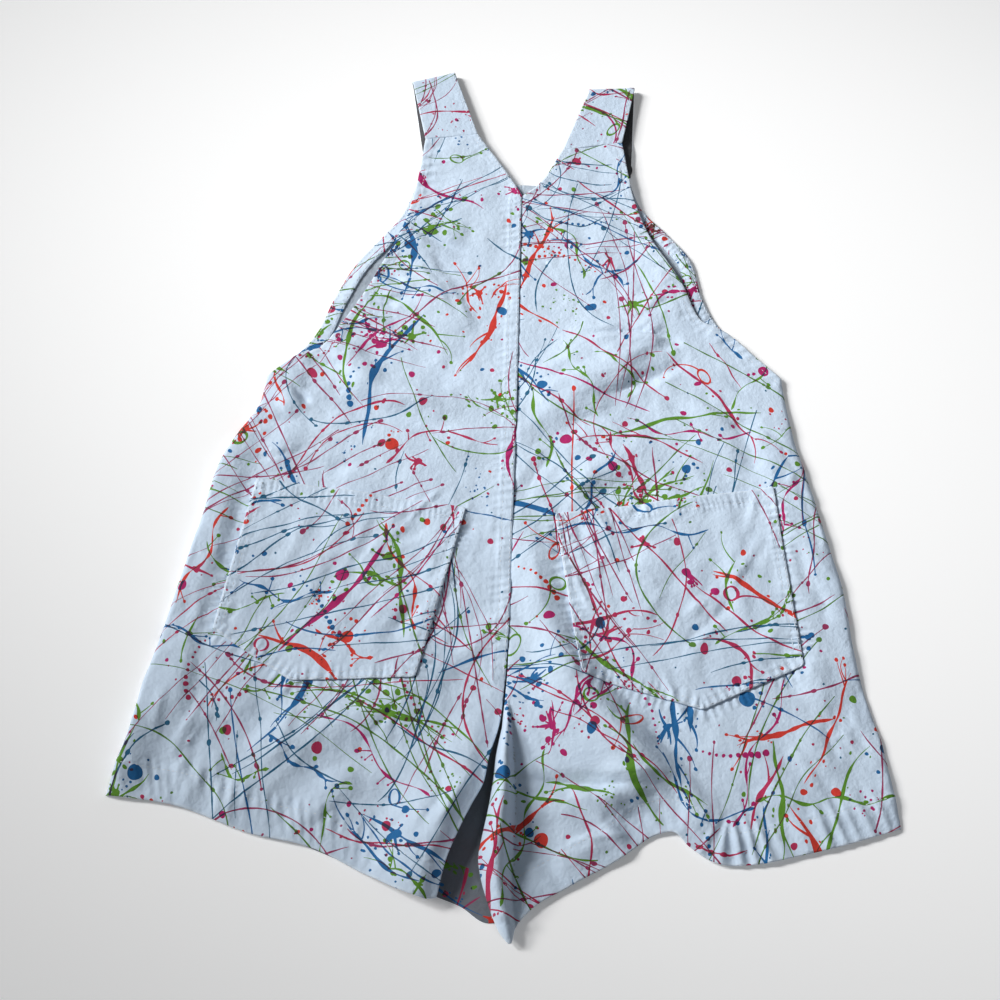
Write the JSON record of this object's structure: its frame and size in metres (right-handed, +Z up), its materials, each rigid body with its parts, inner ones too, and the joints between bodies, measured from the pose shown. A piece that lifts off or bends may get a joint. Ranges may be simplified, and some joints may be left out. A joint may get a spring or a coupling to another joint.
{
  "type": "paint-spatter print shortalls laid flat",
  "caption": "Child's short-legged twill overalls laid flat on their front, back upwards, with buttoned straps folded over and seat pockets.",
  "frame": {"origin": "centre of the laid garment's outline, on the surface it lies on", "axes": "+Z up off the surface, +Y from the leg hems to the straps, +X to the right as seen from above with the back upwards"},
  "size_m": [0.5181, 0.703, 0.0238],
  "materials": {
    "twill": "matte laundered cotton twill, cool white, with crimson, red, magenta, green and blue spatter print",
    "facing": "matte cotton twill of the same print",
    "button": "dark matte plastic"
  },
  "bodies": {
    "root": {"back_left": "twill", "back_right": "twill", "front_left": "twill", "front_right": "twill", "pocket_left": "twill", "pocket_right": "twill", "strap_left": "twill", "strap_right": "twill", "facing_left": "facing", "facing_right": "facing", "button_left": "button", "button_right": "button"}
  },
  "joints": []
}
